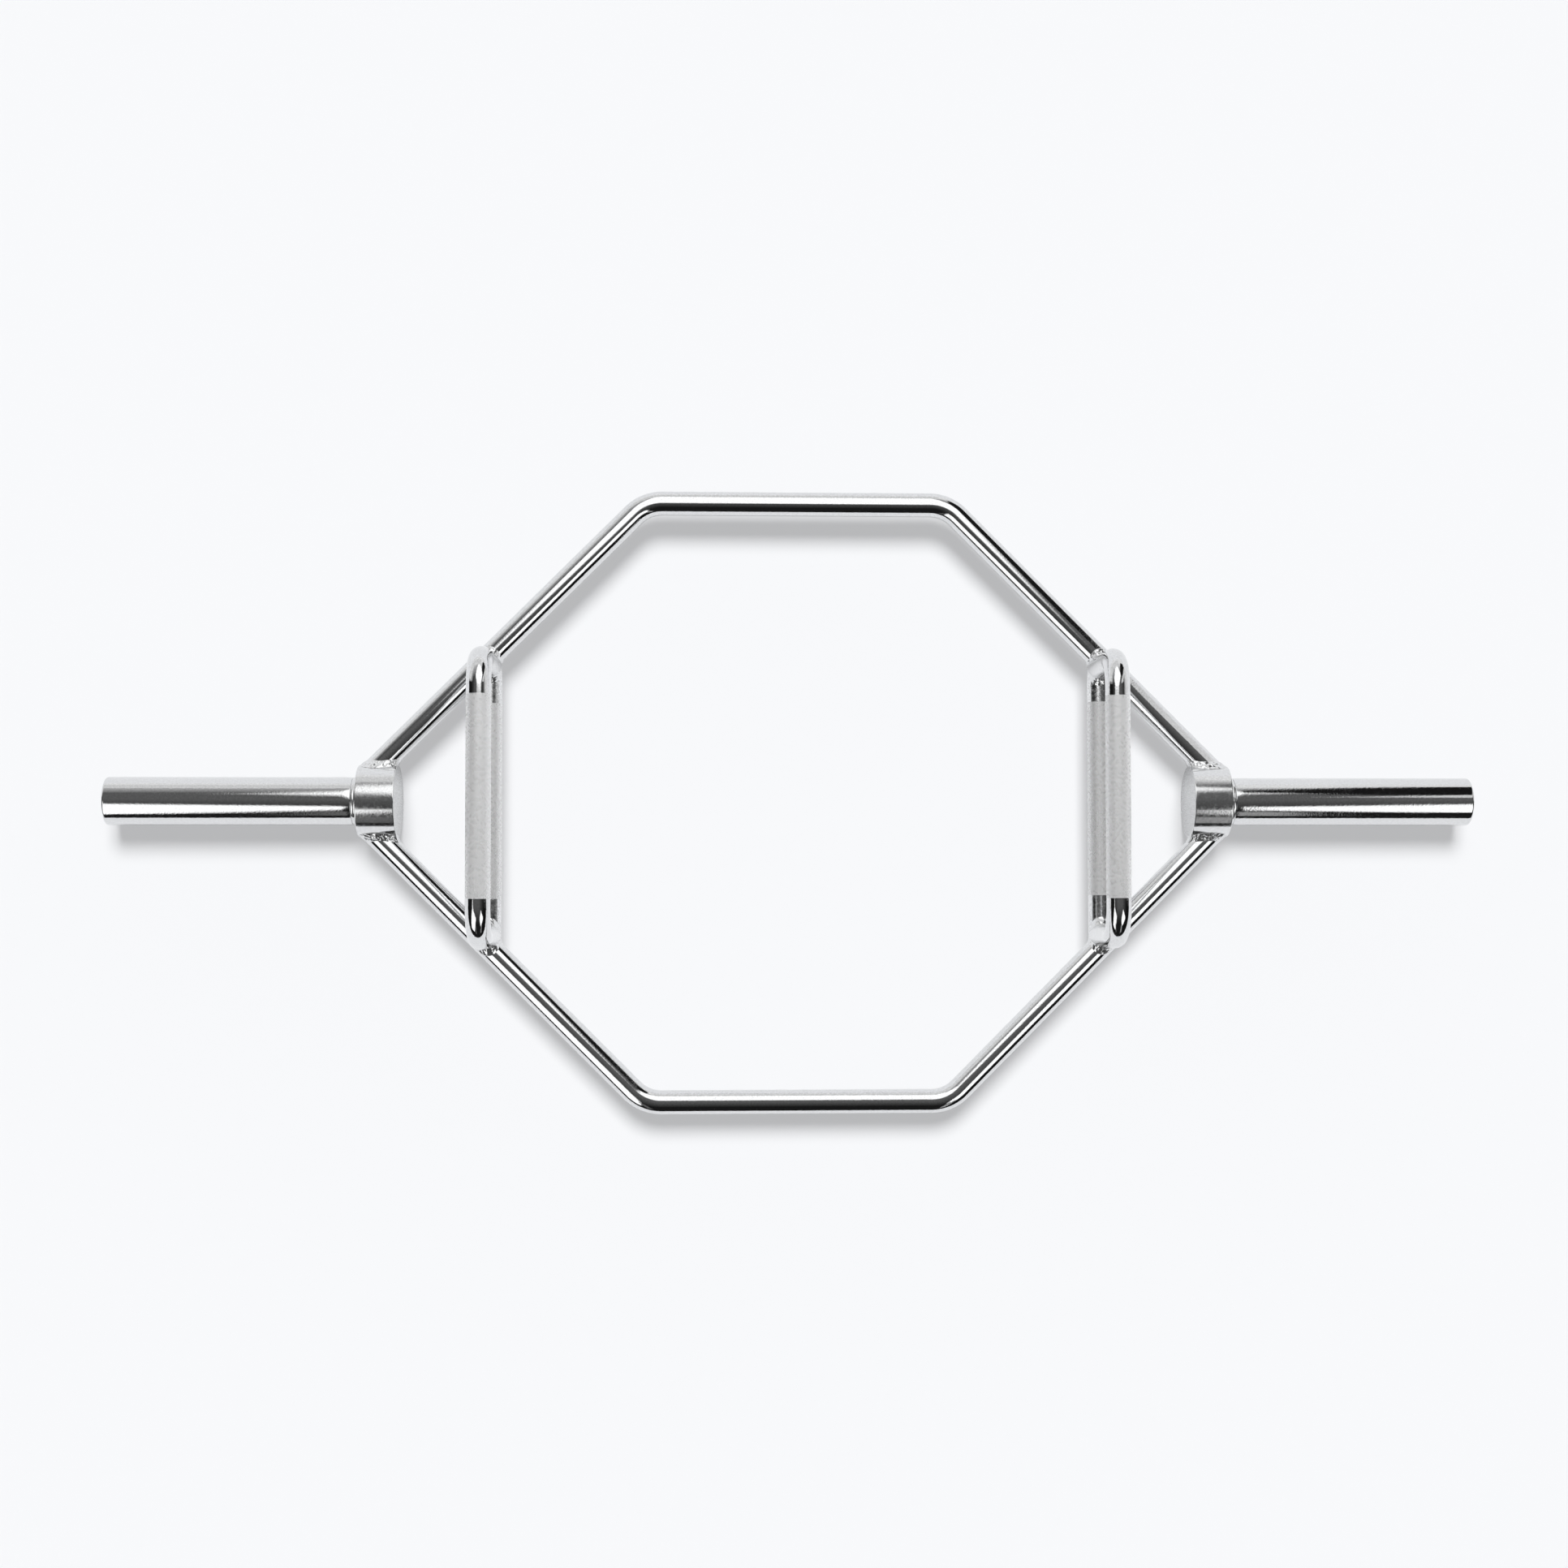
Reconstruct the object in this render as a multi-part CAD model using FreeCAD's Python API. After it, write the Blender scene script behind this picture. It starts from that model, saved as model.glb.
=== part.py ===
import FreeCAD, Part
import math
import os

# Hex trap bar: a closed welded frame of round bar with a plate sleeve at each end.
# Millimetres, +Z up. X runs along the sleeves and Y from front to rear.
# The origin is on the floor below the middle of the bar.

# Sleeves: tubes that carry the plates, closed by a plug at the tip
sleeve_diameter = 50.0
sleeve_wall = 5.0
sleeve_length = 258.0
sleeve_tip_chamfer = 2.0
end_plug_thickness = 10.0
end_plug_recess = 0.5
end_plug_clearance = 0.05

# Root welds: a ring laid in the bevelled end of each sleeve and ground just below its surface
root_weld_width = 6.0
root_weld_relief = 0.7
root_land = 1.0

# Hubs: turned barrels that join the frame bars to the sleeves, with a spigot inside the sleeve
hub_face_spacing = 906.0
hub_diameter = 75.0
hub_length = 40.0
hub_chamfer = 1.5
spigot_length = 35.0
spigot_clearance = 0.1

# Frame bars: one bent bar in front and one behind
frame_bar_diameter = 25.0
frame_width = 625.0
frame_bend_radius = 43.0
diagonal_angle = 45.0

# Low grips: straight bars in the plane of the frame
grip_diameter = 25.0
grip_spacing = 638.0

# Raised handles: bent bars that stand on the ends of the low grips and on the diagonals
handle_diameter = 25.0
handle_height = 110.0
handle_bend_radius = 30.0
handle_foot_inset = 11.5
handle_foot_height = 4.0

# Weld beads at the coped joints
hub_weld_size = 5.0
grip_weld_size = 4.0
handle_weld_size = 5.0
handle_weld_drop = 1.5

# Places worked out from the sizes above
hub_radius = hub_diameter / 2
axis_z = hub_radius
hub_outer_x = hub_face_spacing / 2
hub_inner_x = hub_outer_x - hub_length
hub_middle_x = hub_outer_x - hub_length / 2
sleeve_radius = sleeve_diameter / 2
bore_radius = sleeve_radius - sleeve_wall
land_radius = bore_radius + root_land
tip_x = hub_outer_x + sleeve_length
frame_bar_radius = frame_bar_diameter / 2
frame_y = frame_width / 2
grip_radius = grip_diameter / 2
grip_x = grip_spacing / 2
handle_radius = handle_diameter / 2
handle_z = axis_z + handle_height
foot_z = axis_z + handle_foot_height

# The axis of a diagonal meets the round of the hub at the middle of its length
slope = math.tan(math.radians(diagonal_angle))
corner_x = hub_middle_x - (frame_y - hub_radius) / slope
axis_cross_x = hub_middle_x + hub_radius / slope
junction_y = hub_radius + (hub_middle_x - grip_x) * slope
foot_y = junction_y - handle_foot_inset

LEFT_TO_RIGHT = FreeCAD.Vector(1, 0, 0)
FRONT_TO_REAR = FreeCAD.Vector(0, 1, 0)
ORIGIN = FreeCAD.Vector(0, 0, 0)


def point(x, y, z=axis_z):
    return FreeCAD.Vector(x, y, z)


def on_other_side(shape):
    return shape.mirror(ORIGIN, LEFT_TO_RIGHT)


def in_front(shape):
    return shape.mirror(ORIGIN, FRONT_TO_REAR)


def largest_solid(shape):
    return max(shape.Solids, key=lambda solid: solid.Volume)


def rod(start, end, radius):
    """A straight round bar between two points."""
    along = end - start
    return Part.makeCylinder(radius, along.Length, start, along)


def turned(corners):
    """A solid turned about the sleeve axis, from corners given as (place along it, radius)."""
    places = [point(along, 0, axis_z + radius) for along, radius in corners]
    face = Part.Face(Part.makePolygon(places + places[:1]))
    return face.revolve(point(0, 0), LEFT_TO_RIGHT, 360)


def bent_bar(corners, bend_radius, radius):
    """A round bar of straight runs, with an arc of one radius at each corner between them."""
    path = []
    start = corners[0]
    for before, corner, after in zip(corners, corners[1:], corners[2:]):
        back = (before - corner).normalize()
        ahead = (after - corner).normalize()
        half_angle = back.getAngle(ahead) / 2
        tangent_length = bend_radius / math.tan(half_angle)
        arc_depth = bend_radius / math.sin(half_angle) - bend_radius
        arc_start = corner + back * tangent_length
        arc_middle = corner + (back + ahead).normalize() * arc_depth
        arc_end = corner + ahead * tangent_length
        path.append(Part.makeLine(start, arc_start))
        path.append(Part.Arc(arc_start, arc_middle, arc_end).toShape())
        start = arc_end
    path.append(Part.makeLine(start, corners[-1]))
    section = Part.Face(Part.Wire(Part.makeCircle(radius, corners[0], corners[1] - corners[0])))
    return Part.Wire(path).makePipe(section)


def barrel(grow=0.0):
    """The round of the right hub, widened by grow."""
    return rod(point(hub_inner_x, 0), point(hub_outer_x, 0), hub_radius + grow)


def diagonal(grow=0.0):
    """The straight run of the rear bar beside the right hub, widened by grow."""
    return rod(point(corner_x, frame_y), point(axis_cross_x, 0), frame_bar_radius + grow)


def grip_bar(grow=0.0):
    """The right low grip out to the axes of the diagonals, widened by grow."""
    return rod(point(grip_x, -junction_y), point(grip_x, junction_y), grip_radius + grow)


def foot_leg(grow=0.0):
    """The rear leg of the right handle from just below its foot, widened by grow."""
    bottom = point(grip_x, foot_y, foot_z - handle_weld_drop)
    return rod(bottom, point(grip_x, foot_y, handle_z), handle_radius + grow)


def make_hub():
    spigot_radius = bore_radius - spigot_clearance
    spigot_end_x = hub_outer_x + spigot_length
    return turned([
        (hub_inner_x, 0),
        (hub_inner_x, hub_radius - hub_chamfer),
        (hub_inner_x + hub_chamfer, hub_radius),
        (hub_outer_x - hub_chamfer, hub_radius),
        (hub_outer_x, hub_radius - hub_chamfer),
        (hub_outer_x, spigot_radius),
        (spigot_end_x, spigot_radius),
        (spigot_end_x, 0),
    ])


def make_sleeve():
    return turned([
        (hub_outer_x, bore_radius),
        (hub_outer_x, land_radius),
        (hub_outer_x + root_weld_width, sleeve_radius),
        (tip_x - sleeve_tip_chamfer, sleeve_radius),
        (tip_x, sleeve_radius - sleeve_tip_chamfer),
        (tip_x, bore_radius),
    ])


def make_root_weld():
    top_radius = sleeve_radius - root_weld_relief
    filled_share = (top_radius - land_radius) / (sleeve_radius - land_radius)
    return turned([
        (hub_outer_x, land_radius),
        (hub_outer_x, top_radius),
        (hub_outer_x + root_weld_width * filled_share, top_radius),
    ])


def make_end_plug():
    outer_x = tip_x - end_plug_recess
    inner_x = outer_x - end_plug_thickness
    return rod(point(inner_x, 0), point(outer_x, 0), bore_radius - end_plug_clearance)


def make_rear_bar():
    """The rear frame bar, with both ends coped to the rounds of the hubs."""
    bar = bent_bar([
        point(-axis_cross_x, 0),
        point(-corner_x, frame_y),
        point(corner_x, frame_y),
        point(axis_cross_x, 0),
    ], frame_bend_radius, frame_bar_radius)
    hub_line = rod(point(-tip_x, 0), point(tip_x, 0), hub_radius)
    return largest_solid(bar.cut(hub_line))


def make_grip():
    """The right low grip, with both ends coped to the diagonals."""
    return largest_solid(grip_bar().cut([diagonal(), in_front(diagonal())]))


def make_handle():
    """The right raised handle, with each leg coped to the low grip and to a diagonal."""
    bar = bent_bar([
        point(grip_x, -foot_y, foot_z),
        point(grip_x, -foot_y, handle_z),
        point(grip_x, foot_y, handle_z),
        point(grip_x, foot_y, foot_z),
    ], handle_bend_radius, handle_radius)
    return largest_solid(bar.cut([grip_bar(), diagonal(), in_front(diagonal())]))


def make_hub_weld(hub):
    """The bead round the right end of the rear bar, where it meets the hub."""
    bead = diagonal(hub_weld_size).common(barrel(hub_weld_size))
    return largest_solid(bead.cut([diagonal(), hub]))


def make_handle_weld(grip, handle):
    """The bead round the rear foot of the right handle, on the grip and the diagonal."""
    size = handle_weld_size
    bead = foot_leg(size).common(grip_bar(size).fuse(diagonal(size)))
    return largest_solid(bead.cut([diagonal(), grip, handle]))


def make_grip_weld(grip, handle, handle_weld):
    """The bead round the rear end of the right grip, outside the foot of the handle."""
    bead = grip_bar(grip_weld_size).common(diagonal(grip_weld_size))
    return largest_solid(bead.cut([diagonal(), grip, handle, handle_weld]))


def write_node(name, shape):
    shape.exportStep("parts/" + name + ".step")


def write_sides(name, right):
    """A node for each side of the bar."""
    write_node("right_" + name, right)
    write_node("left_" + name, on_other_side(right))


def write_weld_pairs(name, right_rear):
    """A node for the pair of beads behind and one for the pair in front."""
    rear_pair = Part.makeCompound([right_rear, on_other_side(right_rear)])
    write_node("rear_" + name, rear_pair)
    write_node("front_" + name, in_front(rear_pair))


os.makedirs("parts", exist_ok=True)

rear_frame_bar = make_rear_bar()
right_hub = make_hub()
right_grip = make_grip()
right_handle = make_handle()
handle_weld = make_handle_weld(right_grip, right_handle)
grip_weld = make_grip_weld(right_grip, right_handle, handle_weld)

write_node("rear_frame_bar", rear_frame_bar)
write_node("front_frame_bar", in_front(rear_frame_bar))
write_sides("hub", right_hub)
write_sides("sleeve", make_sleeve())
write_sides("sleeve_end_plug", make_end_plug())
write_sides("sleeve_root_weld", make_root_weld())
write_sides("low_grip", right_grip)
write_sides("raised_handle", right_handle)
write_weld_pairs("hub_welds", make_hub_weld(right_hub))
write_weld_pairs("handle_welds", handle_weld)
write_weld_pairs("grip_welds", grip_weld)
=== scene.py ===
import math

import bpy
import numpy as np
from mathutils import Euler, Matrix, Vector, noise


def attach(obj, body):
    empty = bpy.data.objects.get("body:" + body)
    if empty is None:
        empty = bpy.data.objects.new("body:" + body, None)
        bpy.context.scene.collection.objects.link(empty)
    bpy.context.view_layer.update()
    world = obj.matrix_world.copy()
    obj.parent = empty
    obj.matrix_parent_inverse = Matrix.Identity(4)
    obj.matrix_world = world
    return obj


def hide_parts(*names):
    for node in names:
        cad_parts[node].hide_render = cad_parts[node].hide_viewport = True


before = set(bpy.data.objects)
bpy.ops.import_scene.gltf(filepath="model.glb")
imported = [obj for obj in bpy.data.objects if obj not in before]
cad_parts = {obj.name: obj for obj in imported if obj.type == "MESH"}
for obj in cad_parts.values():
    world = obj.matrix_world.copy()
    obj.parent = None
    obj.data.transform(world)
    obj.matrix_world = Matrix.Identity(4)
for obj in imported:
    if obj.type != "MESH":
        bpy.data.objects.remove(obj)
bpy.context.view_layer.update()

# Sizes in millimetres, as in the solids. The object's left is -X and its front is -Y.
millimetre = 0.001
hub_radius = 37.5
hub_length = 40.0
hub_edge_round = 0.9
spigot_length = 35.0
spigot_clearance = 0.1
spigot_edge_round = 0.8
sleeve_radius = 25.0
sleeve_length = 258.0
bore_radius = 20.0
tip_round = 2.2
tip_bore_round = 0.6
plug_thickness = 10.0
plug_recess = 0.5
plug_clearance = 0.05
plug_inner_round = 0.5
plug_outer_round = 0.8
bar_radius = 12.5
frame_bend_radius = 43.0
handle_rise = 110.0
handle_bend_radius = 30.0
foot_inset = 11.5
foot_rise = 4.0

# Places, of the rear right quarter where they have a side
axis_z = hub_radius
hub_outer_x = 453.0
hub_middle_x = hub_outer_x - hub_length / 2
hub_inner_x = hub_outer_x - hub_length
tip_x = hub_outer_x + sleeve_length
bore_middle_x = hub_outer_x + 100.0
frame_y = 312.5
grip_x = 319.0
handle_z = axis_z + handle_rise
corner_x = hub_middle_x - (frame_y - hub_radius)
junction_y = hub_radius + hub_middle_x - grip_x
foot_y = junction_y - foot_inset

# Root of the sleeve: a ring of weld, ground almost flush, and a neck that narrows a little beside it
root_width = 6.0
root_land = 1.0
root_gap = 0.3
root_relief = 0.2
root_edge_drop = 0.35
root_groove = 0.12
root_groove_share = 0.09
root_lumps = {-1: 0.15, 1: 0.30}
root_lump_pitch = 0.25
root_lump_start = 40
neck_length = 9.0
neck_dip = 0.3
neck_lip = (0.2, 1.2)

# Knurl: rows of small pyramids on the middle of each grip
knurl_reach = 101.5
knurl_depth = 0.10
knurl_rise = 0.06
knurl_columns = 90
knurl_row = 1.5
knurl_edge = 0.15
knurl_run_out = 0.4
low_knurl_shift = {-1: 0.0, 1: 3.3}

# Welds: how far a bead lies on each of the two pieces that it joins, and how lumpy it is
hub_weld_reach = (10.0, 6.0)
grip_weld_reach = (3.2, 3.2)
handle_weld_reach = (4.0, 1.5, 8.0)
hub_weld_lumpiness = 1.0
grip_weld_lumpiness = 0.55
handle_weld_lumpiness = 0.6
weld_fullness = 0.42
weld_full_slide = 0.5
weld_least_size = 0.15
weld_sunk = 0.5
weld_root = 1.5 * weld_sunk
weld_rim_margin = 0.8
weld_least_slope = 0.05
weld_smoothing = 4
weld_lumps = ((0.25, 0.9), (0.70, 0.55))
lump_side_step = 31.0
lump_row_step = 17.0

# Mesh density, and the rows of points that keep the shading of straight runs clean
around = 96
lathe_columns = 128
bend_steps = 28
round_steps = 6
round_support = 0.5
neck_points = 13
root_columns = 240
root_points = 25
bead_points = 15
hub_bead_columns = 190
bead_columns = 150
axis_gap = 0.5
run_out = 60.0
joint_support = 40.0
grip_support_y = 108.0
support_step = 1.2
face_margin = 0.01
least_length = 1e-9

# Directions, with those of the rear right diagonal
ACROSS = np.array((1.0, 0.0, 0.0))
ALONG = np.array((0.0, 1.0, 0.0))
UP = np.array((0.0, 0.0, 1.0))
DIAGONAL_OUT = np.array((1.0, 1.0, 0.0)) / math.sqrt(2)
DIAGONAL_TO_HUB = np.array((1.0, -1.0, 0.0)) / math.sqrt(2)
FLIP_FRONT = np.array((1, -1, 1))

# Camera, from a fit to the outlines in the photograph. The picture is square.
picture_size = 1932
camera_place = Vector((-0.0797, -0.1051, 2.3400))
camera_turn_deg = (2.194, -2.566, -0.077)
camera_sensor = 36.0
camera_lens = 50.64
camera_shift_px = (-43.2, 41.5)

# Studio in metres: the floor and its light
floor_reach = 60.0
floor_colour = (0.900, 0.908, 0.925)
background_colour = (0.940, 0.948, 0.964)
ambient_light = 0.656
ambient_from_right = 0.60
sun_strength = 1.86
sun_angle_deg = 23.0
sun_elevation_deg = 61.0

# Room that the metal mirrors. Its edges are ranges of a direction's east, north and height.
rear_wall_light = 0.63
rear_wall_slant = -0.5
rear_wall_edge = (0.7, 1.15)
horizon_light = 0.80
horizon_slant = 0.1
horizon_edge = (0.09, 0.18)
horizon_heights = (0.30, 0.65)
ceiling_light = 0.12
ceiling_side_light = 0.01
ceiling_side_edge = (0.35, 0.85)
ceiling_front_share = 0.1
ceiling_front_edge = (-0.7, 0.1)

# Panels that the metal mirrors, with the width over which their edges fade and their corners from above
panels = {
    "rear_softbox": {
        "height": 1.50,
        "glow": 1.40,
        "fade": 0.10,
        "corners": [
            (-0.50, 0.25), (0.30, 0.21), (0.95, 1.15), (0.75, 1.75), (0.40, 2.65),
            (-0.45, 2.65), (-0.62, 2.10), (-0.82, 1.45), (-0.88, 0.91),
        ],
    },
    "rear_wall": {
        "height": 1.52,
        "glow": 0.76,
        "fade": 0.10,
        "corners": [
            (-1.30, 2.60), (0.75, 2.55), (2.00, 9.00), (-6.00, 9.00), (-6.00, 4.50), (-3.00, 3.20),
        ],
    },
    "rear_right_flag": {
        "height": 1.80,
        "glow": 0.01,
        "fade": 0.04,
        "corners": [
            (1.20, 0.95), (1.60, 1.23), (3.40, 2.92), (7.60, 6.75), (9.00, 8.00),
            (9.00, 12.00), (4.50, 9.00), (2.50, 6.00), (1.65, 3.70), (1.00, 1.95),
        ],
    },
    "rear_right_fill": {
        "height": 1.82,
        "glow": 0.75,
        "fade": 0.05,
        "corners": [
            (1.10, 0.62), (1.35, 0.58), (1.80, 0.73), (6.50, 5.20), (6.10, 5.60), (1.35, 1.00),
        ],
    },
    "front_left_softbox": {
        "height": 1.72,
        "glow": 1.40,
        "fade": 0.10,
        "corners": [
            (-0.64, -1.00), (-1.64, -0.02), (-4.60, -4.20), (-2.40, -5.20), (-1.40, -3.00), (-0.95, -1.90),
        ],
    },
    "front_right_softbox": {
        "height": 3.37,
        "glow": 1.40,
        "fade": 0.10,
        "corners": [(1.30, -2.00), (1.60, -3.30), (2.60, -5.00), (5.00, -2.81), (2.00, -0.60)],
    },
    "front_right_card": {
        "height": 1.20,
        "glow": 0.36,
        "fade": 0.08,
        "corners": [(0.72, -1.53), (1.14, -4.48), (1.75, -4.48), (1.02, -1.53)],
    },
    "front_left_card": {
        "height": 1.20,
        "glow": 0.14,
        "fade": 0.08,
        "corners": [(-0.62, -1.53), (-0.84, -1.53), (-1.40, -4.48), (-0.90, -4.48)],
    },
}

# Materials: tints, grains per metre of the noises, and the ranges of noise that are used
chrome = (0.74, 0.745, 0.75)
# Darker tint of the hub's inner faces: painted shade for the shaded floor that these faces mirror
face_painted_shade_tint = (0.52, 0.525, 0.53)
bright_chrome = (0.97, 0.975, 0.98)
# Tint of the low grips' knurl, darker than the raised handles' knurl: painted shade for the raised handles
# over them
low_grip_painted_shade_tint = (0.94, 0.945, 0.95)
cloud_grain = 18
cloud_detail = 3
cloud_range = (0.35, 0.65)
cloud_strength = (0.4, 1.0)
haze_grain = 260
haze_detail = 4
haze_range = (0.35, 0.7)
dot_detail = 2
dot_range = (0.25, 0.75)
grain_detail = 3
# How far up from the bottom of the knurl's grooves the painted groove shade reaches, as a share of their
# depth
groove_shade_height = 0.34


def link(thing):
    bpy.context.scene.collection.objects.link(thing)
    return thing


def unit(vectors):
    return vectors / np.maximum(np.linalg.norm(vectors, axis=-1, keepdims=True), least_length)


def turned_angles(count):
    return np.arange(count) * 2 * math.pi / count


def round_about(angles, first, second):
    """Unit vectors at some angles in the plane of two directions."""
    return np.cos(angles)[:, None] * first + np.sin(angles)[:, None] * second


def circle(centre, first, second, radius, count):
    return centre + radius * round_about(turned_angles(count), first, second)


def mirrored(rows, flip):
    return [np.asarray(row) * np.array(flip) for row in rows]


def facing_out(points, faces):
    """The faces turned so that their front is outside."""
    triangles = [(face[0], *pair) for face in faces for pair in zip(face[1:], face[2:])]
    first, second, third = points[np.array(triangles)].transpose(1, 0, 2)
    if (first * np.cross(second, third)).sum() < 0:
        faces = [face[::-1] for face in faces]
    return points, faces


def shell(rows, loop=False):
    """A closed skin over rows of points, as (points, faces). Ends are closed unless the rows form a loop."""
    rows = np.array(rows)
    count, columns, _ = rows.shape
    points = rows.reshape(-1, 3)
    steps = count if loop else count - 1
    faces = []
    for row in range(steps):
        here = row * columns
        there = (row + 1) % count * columns
        for column in range(columns):
            after = (column + 1) % columns
            faces.append((here + column, here + after, there + after, there + column))
    if not loop:
        points = np.vstack([points, rows[0].mean(axis=0), rows[-1].mean(axis=0)])
        last = (count - 1) * columns
        for column in range(columns):
            after = (column + 1) % columns
            faces.append((len(points) - 2, after, column))
            faces.append((len(points) - 1, last + column, last + after))
    return facing_out(points, faces)


def add_piece(name, shells, node, materials, pick=None):
    """A piece made of closed shells, which stands for one node. Pick gives a face's material by its place."""
    points = []
    faces = []
    for shell_points, shell_faces in shells:
        start = len(points)
        points += [tuple(place * millimetre) for place in shell_points]
        faces += [tuple(start + corner for corner in face) for face in shell_faces]
    data = bpy.data.meshes.new(name)
    data.from_pydata(points, [], faces)
    for material in materials:
        data.materials.append(material)
    for polygon in data.polygons:
        polygon.material_index = int(pick(polygon.center / millimetre)) if pick else 0
        polygon.use_smooth = materials[polygon.material_index] not in flat_shaded
    piece = link(bpy.data.objects.new(name, data))
    piece.visible_diffuse = False
    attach(piece, "root")
    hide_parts(node)
    return piece


def rounded(corners):
    """A profile of (along, radius) corners, each with the radius of its rounding, as a list of points."""
    profile = []
    for index, (along, radius, bend) in enumerate(corners):
        corner = np.array((along, radius))
        if bend == 0 or index in (0, len(corners) - 1):
            profile.append(corner)
            continue
        back = unit(np.array(corners[index - 1][:2]) - corner)
        ahead = unit(np.array(corners[index + 1][:2]) - corner)
        half_angle = math.acos(np.clip(back @ ahead, -1, 1)) / 2
        tangent = bend / math.tan(half_angle)
        centre = corner + unit(back + ahead) * bend / math.sin(half_angle)
        start = corner + back * tangent - centre
        end = corner + ahead * tangent - centre
        swing = math.pi - 2 * half_angle
        profile.append(corner + back * (tangent + round_support))
        for step in range(round_steps + 1):
            share = step / round_steps
            arc = math.sin((1 - share) * swing) * start + math.sin(share * swing) * end
            profile.append(centre + arc / math.sin(swing))
        profile.append(corner + ahead * (tangent + round_support))
    return profile


def lathed(profile, side, closed=False):
    """A shell turned about the sleeve axis on one side of the bar."""
    rows = []
    for along, radius in profile:
        centre = np.array((along, 0.0, axis_z))
        rows.append(circle(centre, ALONG, UP, radius, lathe_columns))
    return shell(mirrored(rows, (side, 1, 1)), loop=closed)


def bent_path(corners, bend_radius):
    """Points and directions along straight runs with an arc at each corner between them."""
    places = [corners[0]]
    directions = [unit(corners[1] - corners[0])]
    for before, corner, after in zip(corners, corners[1:], corners[2:]):
        back = unit(before - corner)
        ahead = unit(after - corner)
        half_angle = math.acos(back @ ahead) / 2
        swing = math.pi - 2 * half_angle
        centre = corner + unit(back + ahead) * bend_radius / math.sin(half_angle)
        inward = unit(corner + back * bend_radius / math.tan(half_angle) - centre)
        for step in range(bend_steps + 1):
            angle = swing * step / bend_steps
            places.append(centre + bend_radius * (math.cos(angle) * inward - math.sin(angle) * back))
            directions.append(-math.cos(angle) * back - math.sin(angle) * inward)
    places.append(corners[-1])
    directions.append(unit(corners[-1] - corners[-2]))
    return places, directions


def bar_rows(places, directions, side_axis, count):
    return [
        circle(place, side_axis, np.cross(direction, side_axis), bar_radius, count)
        for place, direction in zip(places, directions)
    ]


def diagonal_joint(angles):
    """Where the lines of the rear right diagonal meet the hub: places, bar normals and hub normals."""
    out = round_about(angles, DIAGONAL_OUT, UP)
    rise = bar_radius * np.sin(angles)
    hub_y = np.sqrt(hub_radius ** 2 - rise ** 2)
    start = np.array((hub_middle_x, hub_radius, axis_z)) + bar_radius * out
    run = (start[:, 1] - hub_y) * math.sqrt(2)
    places = start + run[:, None] * DIAGONAL_TO_HUB
    hub_out = np.stack([np.zeros_like(rise), hub_y, rise], axis=1) / hub_radius
    return places, out, hub_out


def make_frame_bar(name, node, flip_y):
    corners = [
        np.array((-corner_x - run_out, frame_y - run_out, axis_z)),
        np.array((-corner_x, frame_y, axis_z)),
        np.array((corner_x, frame_y, axis_z)),
        np.array((corner_x + run_out, frame_y - run_out, axis_z)),
    ]
    rows = bar_rows(*bent_path(corners, frame_bend_radius), UP, around)
    joint = diagonal_joint(turned_angles(around) + math.pi / 2)[0]
    for along in (-joint_support, -support_step, weld_sunk):
        end = joint + along * DIAGONAL_TO_HUB
        rows.append(end)
        rows.insert(0, end * np.array((-1, 1, 1)))
    add_piece(name, [shell(mirrored(rows, (1, flip_y, 1)))], node, [polished])


def on_hub_face(centre):
    return abs(centre.x) < hub_inner_x + face_margin


def make_hub(name, node, side):
    """A barrel with the spigot that carries the sleeve."""
    spigot_radius = bore_radius - spigot_clearance
    profile = rounded([
        (hub_inner_x, axis_gap, 0),
        (hub_inner_x, hub_radius, hub_edge_round),
        (hub_outer_x, hub_radius, hub_edge_round),
        (hub_outer_x, bore_radius + root_land, 0),
        (hub_outer_x, spigot_radius, 0),
        (hub_outer_x + spigot_length, spigot_radius, spigot_edge_round),
        (hub_outer_x + spigot_length, axis_gap, 0),
    ])
    barrel = lathed(profile, side)
    add_piece(name, [barrel], node, [turned_chrome, faced_chrome_painted_shade], on_hub_face)


def make_sleeve(name, node, side):
    """A tube with a bevelled inner end, which narrows a little beside the root weld."""
    lip_x = hub_outer_x + root_width
    neck = [
        (hub_outer_x, bore_radius),
        (hub_outer_x, bore_radius + root_land),
        (lip_x - neck_lip[0], sleeve_radius - neck_lip[1]),
    ]
    for share in np.linspace(0, 1, neck_points):
        neck.append((lip_x + neck_length * share, sleeve_radius - neck_dip * (1 - share) ** 2))
    tube = rounded([
        (lip_x + 2 * neck_length, sleeve_radius, 0),
        (tip_x, sleeve_radius, tip_round),
        (tip_x, bore_radius, tip_bore_round),
        (bore_middle_x, bore_radius, 0),
    ])
    add_piece(name, [lathed(neck + tube, side, closed=True)], node, [sleeve_chrome])


def make_plug(name, node, side):
    face_x = tip_x - plug_recess
    plug_radius = bore_radius - plug_clearance
    profile = rounded([
        (face_x - plug_thickness, axis_gap, 0),
        (face_x - plug_thickness, plug_radius, plug_inner_round),
        (face_x, plug_radius, plug_outer_round),
        (face_x, axis_gap, 0),
    ])
    add_piece(name, [lathed(profile, side)], node, [turned_chrome])


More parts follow.
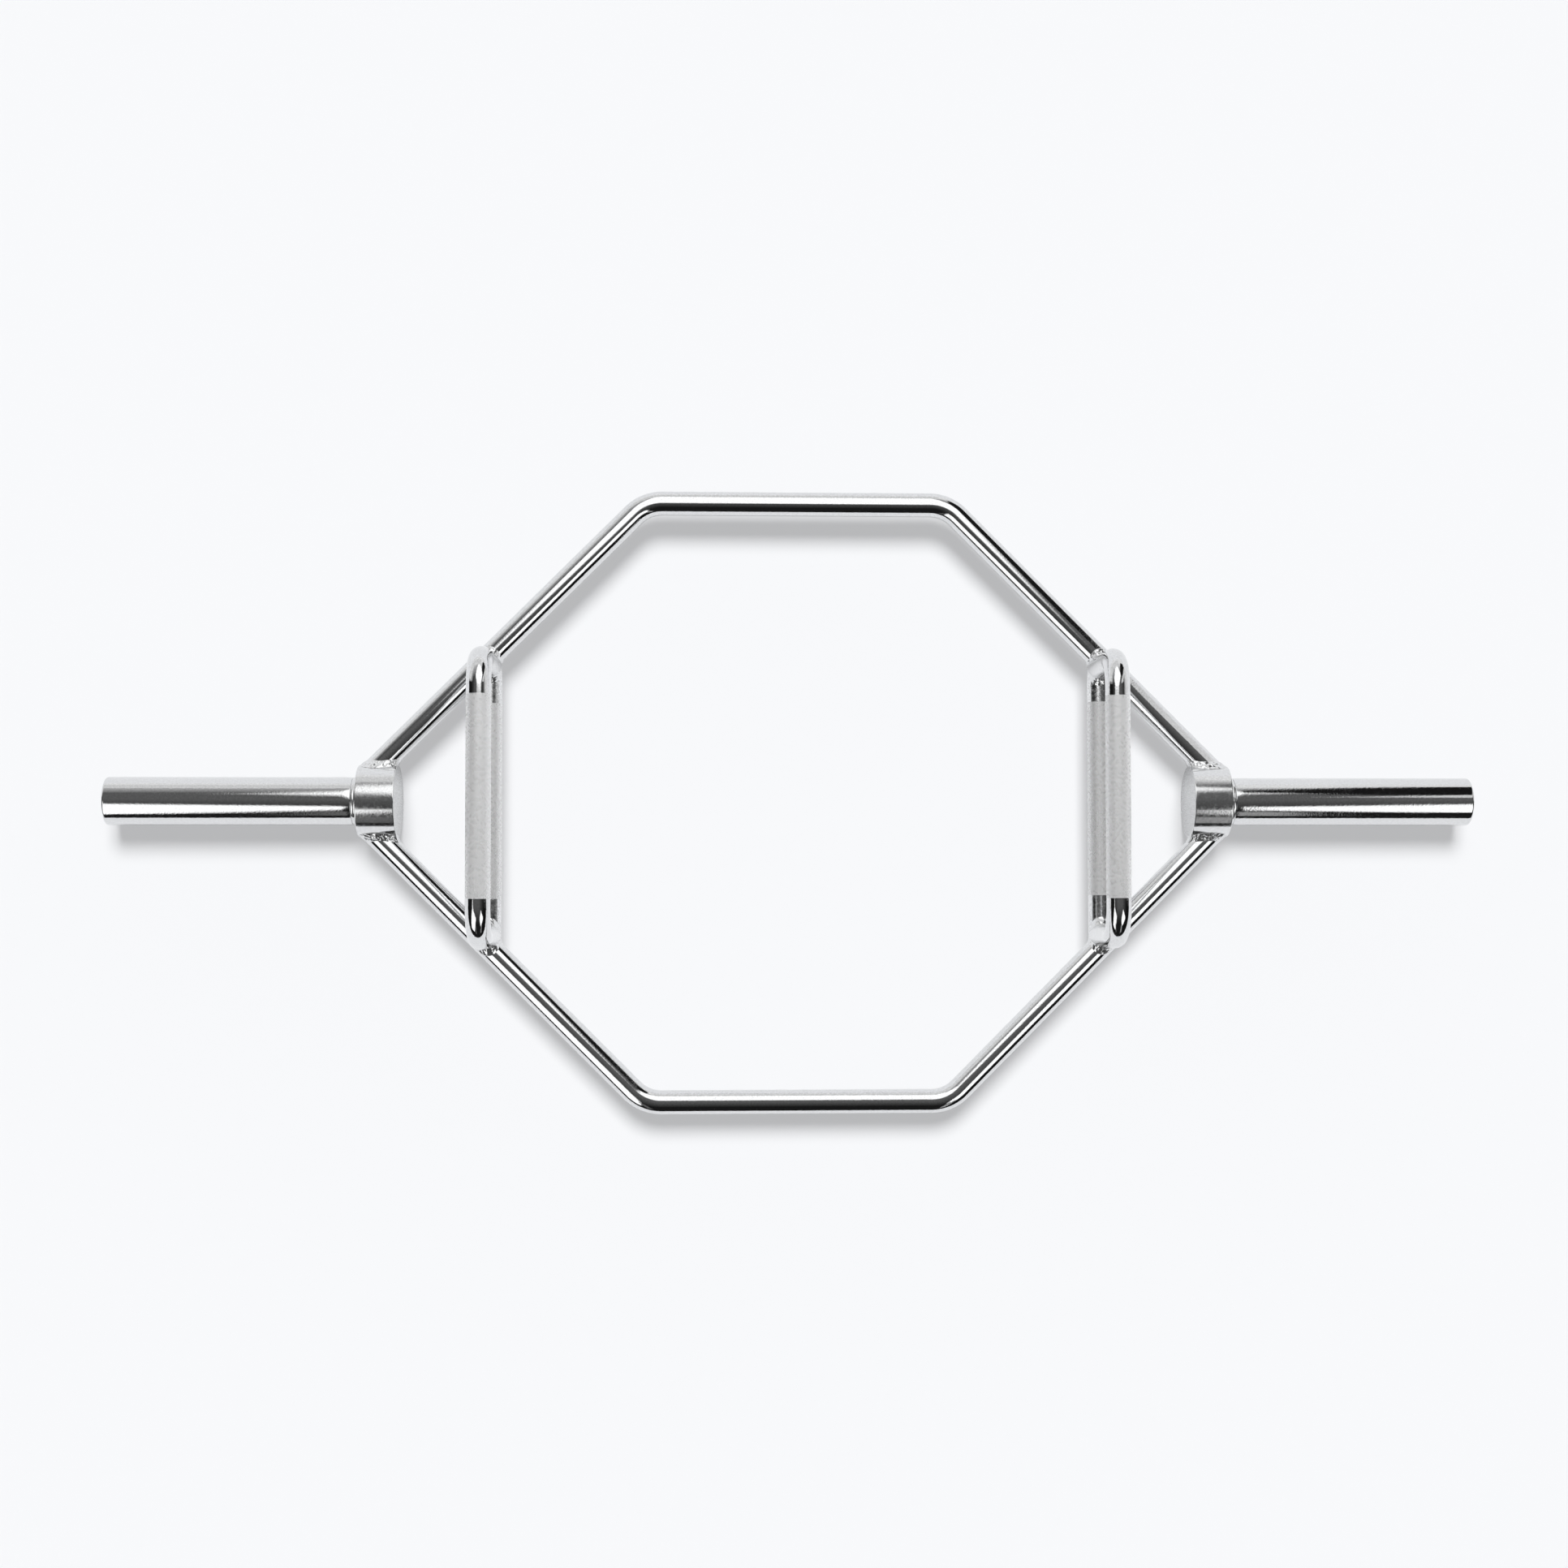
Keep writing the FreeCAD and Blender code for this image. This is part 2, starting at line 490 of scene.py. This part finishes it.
def make_root_weld(name, node, side):
    """A ring between the sleeve and the hub, ground almost flush but not even."""
    rows = []
    for angle in turned_angles(root_columns):
        out = np.array((0.0, math.cos(angle), math.sin(angle)))
        row = [np.array((hub_outer_x, 0, axis_z)) + out * (bore_radius + root_land)]
        for share in np.linspace(0, 1, root_points):
            along = hub_outer_x + share * (root_width - root_gap)
            crown = sleeve_radius - root_relief - root_edge_drop * (2 * share - 1) ** 4
            crown -= root_groove * math.exp(-((share - 0.5) / root_groove_share) ** 2)
            place = np.array((along, 0.0, axis_z)) + out * crown
            lump = root_lumps[side] * noise.noise(Vector(place * root_lump_pitch + root_lump_start * side))
            row.append(place + out * lump * math.sin(math.pi * share))
        rows.append(row)
    rows = mirrored(rows, (side, 1, 1))
    add_piece(name, [shell(rows, loop=True)], node, [weld_metal])


def knurl_rows(make_row, shift=0.0):
    """Rows of the knurl, from one end of the band to the other. Every other point of a row is a peak."""
    count = int(2 * knurl_reach / knurl_row)
    rows = []
    for index in range(count + 1):
        along = shift - knurl_reach + 2 * knurl_reach * index / count
        peaks = (np.arange(knurl_columns) + index) % 2 == 0
        radius = bar_radius + knurl_rise - np.where(peaks, 0, knurl_depth)
        rows.append(make_row(along, radius[:, None]))
    return rows


def is_peak(corner, first):
    row, column = divmod(corner, knurl_columns)
    return (column + row - first) % 2 == 0


def knurled_shell(before, band, after):
    """One skin over smooth rows, a knurled band and smooth rows. The band is split along its grooves."""
    points, faces = shell(before + band + after)
    first = len(before)
    last = first + len(band) - 1
    split = []
    for face in faces:
        row = min(face) // knurl_columns
        if len(face) != 4 or not first <= row < last:
            split.append(face)
        elif is_peak(face[0], first):
            split += [(face[0], face[1], face[3]), (face[1], face[2], face[3])]
        else:
            split += [(face[0], face[1], face[2]), (face[0], face[2], face[3])]
    return points, split


def mark_grooves(grip, height):
    """Stores how far each point stands above the bottom of the grooves, as a share of their depth, for the
    painted shade in the grooves.
    """
    floor_radius = bar_radius + knurl_rise - knurl_depth
    rise = []
    for vertex in grip.data.vertices:
        place = vertex.co / millimetre
        radius = math.hypot(abs(place.x) - grip_x, place.z - height)
        rise.append((radius - floor_radius) / knurl_depth)
    grip.data.attributes.new("rise", "FLOAT", "POINT").data.foreach_set("value", rise)


def in_knurl(centre_y):
    return abs(centre_y) < knurl_reach


def coped_end(angles):
    """How far back the lines of the right low grip end on the diagonal's skin."""
    return junction_y - bar_radius * (np.cos(angles) + math.sqrt(2) * np.abs(np.cos(angles)))


def make_low_grip(name, node, side):
    axis = np.array((grip_x, 0.0, axis_z))
    angles = turned_angles(knurl_columns)
    out = round_about(angles, ACROSS, -UP)
    shift = low_knurl_shift[side]

    def row(along, radius=bar_radius):
        return axis + along * ALONG + radius * out

    def pick(centre):
        return in_knurl(centre.y - shift)

    end = row(0.0) + (coped_end(angles) + weld_sunk)[:, None] * ALONG
    coped = [end - support_step * ALONG, end]
    band_end = knurl_reach + knurl_edge
    after = [row(shift + band_end), row(shift + band_end + knurl_run_out), row(grip_support_y)]
    before = [row(-grip_support_y), row(shift - band_end - knurl_run_out), row(shift - band_end)]
    before = mirrored(coped[::-1], FLIP_FRONT) + before
    points, faces = knurled_shell(before, knurl_rows(row, shift), after + coped)
    skin = facing_out(points * np.array((side, 1, 1)), faces)
    grip = add_piece(name, [skin], node, [hazy_chrome, low_knurled_painted_shade], pick)
    mark_grooves(grip, axis_z)


def support_height(angles):
    """Height above the axes of what carries the rear right leg, round its foot, and its normals there."""
    across = bar_radius * np.cos(angles)
    back = bar_radius * np.sin(angles)
    over_grip = np.sqrt(np.maximum(bar_radius ** 2 - across ** 2, 0))
    off_diagonal = (across + back - (junction_y - foot_y)) / math.sqrt(2)
    over_diagonal = np.sqrt(np.maximum(bar_radius ** 2 - off_diagonal ** 2, 0))
    height = np.maximum(np.maximum(over_grip, over_diagonal), foot_rise)
    grip_out = unit(np.stack([across, 0 * across, np.maximum(over_grip, foot_rise)], axis=1))
    diagonal_out = unit(off_diagonal[:, None] * DIAGONAL_OUT + over_diagonal[:, None] * UP)
    on_diagonal = (over_diagonal > over_grip)[:, None]
    return height, np.where(on_diagonal, diagonal_out, grip_out)


def handle_leg():
    """Rows of points up the rear right leg and round its bend."""
    angles = turned_angles(knurl_columns)
    height = support_height(angles)[0]
    foot = np.array((grip_x, foot_y, axis_z - weld_sunk)) + bar_radius * round_about(angles, ACROSS, ALONG)
    foot = foot + height[:, None] * UP
    corners = [
        np.array((grip_x, foot_y, axis_z + run_out)),
        np.array((grip_x, foot_y, handle_z)),
        np.array((grip_x, 0.0, handle_z)),
    ]
    places, directions = bent_path(corners, handle_bend_radius)
    return [foot, foot + support_step * UP] + bar_rows(places[:-1], directions[:-1], ACROSS, knurl_columns)


def make_handle(name, node, side):
    top = np.array((grip_x, 0.0, handle_z))
    top_out = round_about(turned_angles(knurl_columns), ACROSS, UP)

    def row(along, radius=bar_radius):
        return top - along * ALONG + radius * top_out

    def pick(centre):
        """Which material a face has: 0 on the bends, 1 on the knurl and 2 on the legs."""
        on_leg = centre.z < handle_z - handle_bend_radius
        return 2 if on_leg else in_knurl(centre.y)

    band_end = knurl_reach + knurl_edge
    before = handle_leg() + [row(-band_end - knurl_run_out), row(-band_end)]
    after = mirrored(before[::-1], FLIP_FRONT)
    points, faces = knurled_shell(before, knurl_rows(row), after)
    skin = facing_out(points * np.array((side, 1, 1)), faces)
    handle = add_piece(name, [skin], node, [polished, knurled, leg_chrome], pick)
    handle.visible_shadow = False
    mark_grooves(handle, handle_z)


def smooth_round(vectors):
    """Each vector of a ring averaged with its neighbours."""
    steps = range(-weld_smoothing, weld_smoothing + 1)
    total = sum(np.roll(vectors, step, axis=0) for step in steps)
    return unit(total)


def lumps(places, lump_place):
    heights = np.zeros(len(places))
    for pitch, height in weld_lumps:
        heights += [height * noise.noise(Vector(place * pitch + lump_place)) for place in places]
    return heights


def bead(places, bar_out, bar_along, support_out, reach, flip, lump_place, lumpiness, limit=None):
    """A lumpy weld bead in the corner between a bar and what carries it, as one closed shell."""
    lean = (bar_out * support_out).sum(axis=1, keepdims=True)
    slide = bar_out - lean * support_out
    size = np.clip(np.linalg.norm(slide, axis=1, keepdims=True) / weld_full_slide, weld_least_size, 1)
    support_along = smooth_round(unit(slide))
    bar_reach = reach[0] * size
    support_reach = reach[1] * size
    if limit is not None:
        support_reach = np.minimum(support_reach, limit(places, support_along)[:, None])
    face_out = unit(bar_out + support_out)
    top = places + bar_along * bar_reach - bar_out * weld_sunk
    foot = places + support_along * support_reach - support_out * weld_sunk
    middle = places + weld_fullness * (bar_along * bar_reach + support_along * support_reach)
    columns = [places - face_out * weld_root]
    for share in np.linspace(0, 1, bead_points):
        curve = (1 - share) ** 2 * top + 2 * share * (1 - share) * middle + share ** 2 * foot
        swell = lumpiness * math.sin(math.pi * share) * size
        columns.append(curve + swell * lumps(curve, lump_place)[:, None] * face_out)
    rows = np.stack(columns, axis=1)
    return shell(mirrored(rows, flip), loop=True)


def room_to_rim(places, along):
    """How far a bead may reach over the hub before it comes to a rim."""
    room = hub_length / 2 - weld_rim_margin - np.abs(places[:, 0] - hub_middle_x)
    return room / np.maximum(np.abs(along[:, 0]), weld_least_slope)


def hub_bead(flip, lump_place):
    places, out, hub_out = diagonal_joint(turned_angles(hub_bead_columns))
    from_hub = -DIAGONAL_TO_HUB
    return bead(places, out, from_hub, hub_out, hub_weld_reach, flip, lump_place, hub_weld_lumpiness,
                room_to_rim)


def grip_bead(flip, lump_place):
    angles = turned_angles(bead_columns)
    out = round_about(angles, ACROSS, UP)
    places = np.array((grip_x, 0.0, axis_z)) + bar_radius * out
    places[:, 1] = coped_end(angles)
    diagonal_out = -np.abs(np.cos(angles))[:, None] * DIAGONAL_OUT + np.sin(angles)[:, None] * UP
    return bead(places, out, -ALONG, diagonal_out, grip_weld_reach, flip, lump_place, grip_weld_lumpiness)


def handle_bead(flip, lump_place):
    angles = turned_angles(bead_columns)
    out = round_about(angles, ACROSS, ALONG)
    height, support_out = support_height(angles)
    places = np.array((grip_x, foot_y, axis_z)) + bar_radius * out + height[:, None] * UP
    up_leg, beside, along_grip = handle_weld_reach
    skirt = beside + (along_grip - beside) * np.sin(angles)[:, None] ** 2
    return bead(places, out, UP, support_out, (up_leg, skirt), flip, lump_place, handle_weld_lumpiness)


def weld_pair(name, node, flip_y, make_bead):
    """The left and right beads of one node."""
    beads = []
    for side in (-1, 1):
        lump_place = lump_side_step * side + lump_row_step * flip_y
        beads.append(make_bead((side, flip_y, 1), lump_place))
    add_piece(name, beads, node, [weld_metal])


def add_node(tree, kind, **settings):
    node = tree.nodes.new(kind)
    for name, value in settings.items():
        setattr(node, name, value)
    return node


def new_material(name):
    material = bpy.data.materials.new(name)
    material.use_nodes = True
    material.node_tree.nodes.clear()
    return material


def show_surface(tree, surface, kind="ShaderNodeOutputMaterial"):
    output = add_node(tree, kind)
    tree.links.new(surface, output.inputs["Surface"])


def mixed(tree, share, first, second):
    mix = add_node(tree, "ShaderNodeMixShader")
    tree.links.new(share, mix.inputs["Fac"])
    tree.links.new(first, mix.inputs[1])
    tree.links.new(second, mix.inputs[2])
    return mix.outputs[0]


def math_node(tree, operation, *values):
    node = add_node(tree, "ShaderNodeMath", operation=operation)
    for socket, value in zip(node.inputs, values):
        if isinstance(value, (int, float)):
            socket.default_value = value
        else:
            tree.links.new(value, socket)
    return node.outputs[0]


def noise_node(tree, coordinates, scale, detail, stretch=(1, 1, 1)):
    """Noise with a given number of grains per metre, stretched by direction."""
    mapping = add_node(tree, "ShaderNodeMapping")
    mapping.inputs["Scale"].default_value = stretch
    tree.links.new(coordinates, mapping.inputs["Vector"])
    grain = add_node(tree, "ShaderNodeTexNoise")
    grain.inputs["Scale"].default_value = scale
    grain.inputs["Detail"].default_value = detail
    tree.links.new(mapping.outputs[0], grain.inputs["Vector"])
    return grain.outputs["Fac"]


def ranged(tree, value, from_range, to_range):
    """A value mapped from one range to another and held within it."""
    span = add_node(tree, "ShaderNodeMapRange")
    span.inputs["From Min"].default_value = from_range[0]
    span.inputs["From Max"].default_value = from_range[1]
    span.inputs["To Min"].default_value = to_range[0]
    span.inputs["To Max"].default_value = to_range[1]
    tree.links.new(value, span.inputs["Value"])
    return span.outputs[0]


def speckled(tree, place, tint, grain, speckle, stretch):
    """A tint with darker and lighter dots."""
    first_colour, second_colour, result = 6, 7, 2
    mix = add_node(tree, "ShaderNodeMix", data_type="RGBA")
    mix.inputs[first_colour].default_value = (*[(1 - speckle) * share for share in tint], 1)
    mix.inputs[second_colour].default_value = (*[(1 + speckle) * share for share in tint], 1)
    dots = noise_node(tree, place, grain, dot_detail, stretch)
    tree.links.new(ranged(tree, dots, dot_range, (0.0, 1.0)), mix.inputs["Factor"])
    return mix.outputs[result]


def painted_groove_shade(tree, colour, groove_shade_tint):
    """A colour with painted shade: dark lines where the knurl is deep, standing in for the shade that falls
    in its grooves.
    """
    rise = add_node(tree, "ShaderNodeAttribute", attribute_name="rise").outputs["Fac"]
    shade = ranged(tree, rise, (0.0, groove_shade_height), (groove_shade_tint, 1.0))
    scaled = add_node(tree, "ShaderNodeVectorMath", operation="SCALE")
    tree.links.new(colour, scaled.inputs[0])
    tree.links.new(shade, scaled.inputs["Scale"])
    return scaled.outputs[0]


def grained(tree, place, grain, grain_depth, stretch):
    """Normals of a surface with a fine grain, stronger in some patches."""
    clouds = noise_node(tree, place, cloud_grain, cloud_detail)
    bump = add_node(tree, "ShaderNodeBump")
    bump.inputs["Distance"].default_value = grain_depth
    tree.links.new(ranged(tree, clouds, cloud_range, cloud_strength), bump.inputs["Strength"])
    tree.links.new(noise_node(tree, place, grain, grain_detail, stretch), bump.inputs["Height"])
    return bump.outputs[0]


def chrome_material(name, tint, roughness, grain, grain_depth, speckle, stretch=(1, 1, 1), metallic=1.0,
                    groove_shade_tint=None):
    """Chrome plate with a speckled tint, patches of haze and a fine grain in its surface, and painted shade
    in the knurl's grooves where a groove shade tint is given.
    """
    material = new_material(name)
    tree = material.node_tree
    place = add_node(tree, "ShaderNodeTexCoord").outputs["Object"]
    shader = add_node(tree, "ShaderNodeBsdfPrincipled")
    shader.inputs["Metallic"].default_value = metallic
    colour = speckled(tree, place, tint, grain, speckle, stretch)
    # Painted shade: the knurl's grooves are darkened in the base colour
    if groove_shade_tint is not None:
        colour = painted_groove_shade(tree, colour, groove_shade_tint)
    tree.links.new(colour, shader.inputs["Base Color"])
    haze = noise_node(tree, place, haze_grain, haze_detail, stretch)
    tree.links.new(ranged(tree, haze, haze_range, roughness), shader.inputs["Roughness"])
    tree.links.new(grained(tree, place, grain, grain_depth, stretch), shader.inputs["Normal"])
    show_surface(tree, shader.outputs[0])
    return material


def add_camera():
    data = bpy.data.cameras.new("camera")
    data.sensor_width = camera_sensor
    data.lens = camera_lens
    data.shift_x = camera_shift_px[0] / picture_size
    data.shift_y = camera_shift_px[1] / picture_size
    camera = link(bpy.data.objects.new("camera", data))
    camera.location = camera_place
    camera.rotation_euler = Euler([math.radians(turn) for turn in camera_turn_deg], "XYZ")
    bpy.context.scene.camera = camera


def add_floor():
    data = bpy.data.meshes.new("floor")
    corners = [
        (-floor_reach, -floor_reach, 0),
        (floor_reach, -floor_reach, 0),
        (floor_reach, floor_reach, 0),
        (-floor_reach, floor_reach, 0),
    ]
    data.from_pydata(corners, [], [(0, 1, 2, 3)])
    floor = link(bpy.data.objects.new("floor", data))
    material = new_material("floor_paper")
    tree = material.node_tree
    shader = add_node(tree, "ShaderNodeBsdfDiffuse")
    shader.inputs["Color"].default_value = (*floor_colour, 1)
    show_surface(tree, shader.outputs[0])
    data.materials.append(material)


def panel_material(name, glow):
    material = new_material(name)
    tree = material.node_tree
    emission = add_node(tree, "ShaderNodeEmission")
    emission.inputs["Strength"].default_value = glow
    clear = add_node(tree, "ShaderNodeBsdfTransparent")
    edge = add_node(tree, "ShaderNodeAttribute", attribute_name="glow")
    show_surface(tree, mixed(tree, edge.outputs["Fac"], clear.outputs[0], emission.outputs[0]))
    return material


def add_panel(name, height, glow, fade, corners):
    """A panel that only shows in the metal, with edges that fade."""
    centre = sum((Vector(corner) for corner in corners), Vector((0, 0))) / len(corners)
    points = []
    for corner in corners:
        out = Vector(corner) - centre
        inner = centre + out * (1 - fade / out.length)
        outer = centre + out * (1 + fade / out.length)
        points += [(*inner, height), (*outer, height)]
    count = len(corners)
    faces = [tuple(2 * index for index in range(count))]
    for index in range(count):
        after = (index + 1) % count
        faces.append((2 * index, 2 * index + 1, 2 * after + 1, 2 * after))
    data = bpy.data.meshes.new(name)
    data.from_pydata(points, [], faces)
    data.attributes.new("glow", "FLOAT", "POINT").data.foreach_set("value", [1.0, 0.0] * count)
    data.materials.append(panel_material(name, glow))
    panel = link(bpy.data.objects.new(name, data))
    panel.visible_camera = False
    panel.visible_diffuse = False
    panel.visible_shadow = False


def add_sun():
    """The light that shapes the shadows on the floor. The metal doesn't mirror it."""
    data = bpy.data.lights.new("sun", "SUN")
    data.energy = sun_strength
    data.angle = math.radians(sun_angle_deg)
    sun = link(bpy.data.objects.new("sun", data))
    sun.rotation_euler = Euler((-math.radians(90 - sun_elevation_deg), 0, 0), "XYZ")
    sun.visible_glossy = False


def room_level(tree, east, north, height):
    """How bright the room is by direction: a rear wall, a glow low behind and a dim ceiling."""
    rearward = math_node(tree, "MULTIPLY_ADD", east, rear_wall_slant, north)
    wall = ranged(tree, rearward, rear_wall_edge, (0.0, rear_wall_light))
    low = ranged(tree, height, horizon_heights, (horizon_light, 0.0))
    slanted = math_node(tree, "MULTIPLY_ADD", east, horizon_slant, north)
    behind = ranged(tree, slanted, horizon_edge, (0.0, 1.0))
    horizon = math_node(tree, "MULTIPLY", low, behind)
    sideways = math_node(tree, "ABSOLUTE", east)
    sides = ranged(tree, sideways, ceiling_side_edge, (ceiling_light, ceiling_side_light))
    front = ranged(tree, north, ceiling_front_edge, (ceiling_front_share, 1.0))
    ceiling = math_node(tree, "MULTIPLY", sides, front)
    return math_node(tree, "ADD", math_node(tree, "MAXIMUM", wall, horizon), ceiling)


def add_world():
    """The room for the metal, an even light for the floor that leans to the right, and the paper behind."""
    world = bpy.data.worlds.new("studio")
    bpy.context.scene.world = world
    world.use_nodes = True
    tree = world.node_tree
    tree.nodes.clear()
    split = add_node(tree, "ShaderNodeSeparateXYZ")
    place = add_node(tree, "ShaderNodeTexCoord")
    tree.links.new(place.outputs["Generated"], split.inputs[0])
    east, north, height = split.outputs
    room = add_node(tree, "ShaderNodeBackground")
    tree.links.new(room_level(tree, east, north, height), room.inputs["Color"])
    paper = add_node(tree, "ShaderNodeBackground")
    paper.inputs["Color"].default_value = (*background_colour, 1)
    ambient = add_node(tree, "ShaderNodeBackground")
    from_left = ambient_light * (1 - ambient_from_right)
    from_right = ambient_light * (1 + ambient_from_right)
    tree.links.new(ranged(tree, east, (-1.0, 1.0), (from_left, from_right)), ambient.inputs["Strength"])
    path = add_node(tree, "ShaderNodeLightPath")
    lit = mixed(tree, path.outputs["Is Diffuse Ray"], room.outputs[0], ambient.outputs[0])
    shown = mixed(tree, path.outputs["Is Camera Ray"], lit, paper.outputs[0])
    show_surface(tree, shown, "ShaderNodeOutputWorld")


# Kinds of plating
polished = chrome_material(
    "polished_chrome", chrome, roughness=(0.03, 0.10), grain=600, grain_depth=0.00005, speckle=0.12)
sleeve_chrome = chrome_material(
    "sleeve_chrome", chrome, roughness=(0.03, 0.12), grain=550, grain_depth=0.00008, speckle=0.08)
turned_chrome = chrome_material(
    "turned_chrome", chrome, roughness=(0.10, 0.20), grain=550, grain_depth=0.00005, speckle=0.10)
# The hub's inner faces: the machining grain and haze are their own, the darker tint is painted shade for the
# shaded floor they mirror
faced_chrome_painted_shade = chrome_material(
    "faced_chrome_painted_shade", face_painted_shade_tint, roughness=(0.2, 0.35), grain=700, grain_depth=0.00003, speckle=0.15,
    stretch=(1, 4, 0.3))
hazy_chrome = chrome_material(
    "hazy_chrome", chrome, roughness=(0.12, 0.3), grain=600, grain_depth=0.0001, speckle=0.35)
leg_chrome = chrome_material(
    "leg_chrome", chrome, roughness=(0.16, 0.28), grain=900, grain_depth=0.00003, speckle=0.06)
# The knurl of the raised handles, with painted shade darkening its grooves
knurled = chrome_material(
    "knurled_chrome", bright_chrome, roughness=(0.25, 0.33), grain=600, grain_depth=0.00002, speckle=0.10,
    metallic=0.40, groove_shade_tint=0.12)
# The knurl of the low grips: a darker copy of the raised handles' knurl as painted shade for the raised
# handles over them, with painted shade darkening its grooves too
low_knurled_painted_shade = chrome_material(
    "low_knurled_chrome", low_grip_painted_shade_tint, roughness=(0.25, 0.33), grain=600, grain_depth=0.00002, speckle=0.10,
    metallic=0.55, groove_shade_tint=0.12)
weld_metal = chrome_material(
    "weld_chrome", chrome, roughness=(0.08, 0.18), grain=900, grain_depth=0.00003, speckle=0.1, metallic=0.92)
flat_shaded = (knurled, low_knurled_painted_shade, faced_chrome_painted_shade)

# The bar
for row_name, flip_y in (("rear", 1), ("front", -1)):
    make_frame_bar(row_name + "_bent_bar", row_name + "_frame_bar", flip_y)
    weld_pair(row_name + "_hub_beads", row_name + "_hub_welds", flip_y, hub_bead)
    weld_pair(row_name + "_grip_beads", row_name + "_grip_welds", flip_y, grip_bead)
    weld_pair(row_name + "_handle_beads", row_name + "_handle_welds", flip_y, handle_bead)
for side_name, side in (("left", -1), ("right", 1)):
    make_hub(side_name + "_hub_barrel", side_name + "_hub", side)
    make_sleeve(side_name + "_sleeve_tube", side_name + "_sleeve", side)
    make_plug(side_name + "_sleeve_cap", side_name + "_sleeve_end_plug", side)
    make_root_weld(side_name + "_root_bead", side_name + "_sleeve_root_weld", side)
    make_low_grip(side_name + "_knurled_grip", side_name + "_low_grip", side)
    make_handle(side_name + "_knurled_handle", side_name + "_raised_handle", side)

# The studio
add_camera()
add_floor()
add_sun()
add_world()
for name, panel in panels.items():
    add_panel(name, **panel)
bpy.context.scene.view_settings.view_transform = "Standard"
